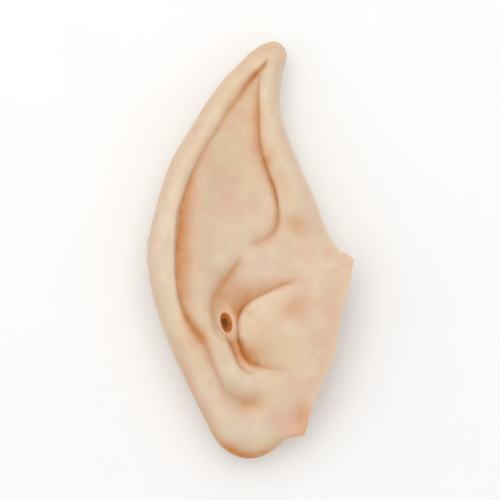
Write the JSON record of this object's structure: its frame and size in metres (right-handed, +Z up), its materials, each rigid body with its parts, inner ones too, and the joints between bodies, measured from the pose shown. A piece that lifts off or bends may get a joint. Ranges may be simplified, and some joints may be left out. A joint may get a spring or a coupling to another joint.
{
  "type": "slip-on elf ear tip",
  "caption": "Hollow cast ear cover with a long curved point, modelled outer ear folds, a flat back and an open side that slips over the wearer's own ear.",
  "frame": {"origin": "under the middle of the outline, on the surface that the ear's back lies on", "axes": "+X from the rear rim to the cheek flap, +Y from the lobe to the tip, +Z up through the face"},
  "size_m": [0.071, 0.1446, 0.0249],
  "materials": {
    "latex": "matt skin-coloured latex with orange-brown tint in the folds"
  },
  "bodies": {
    "root": {"ear_shell": "latex"}
  },
  "joints": []
}
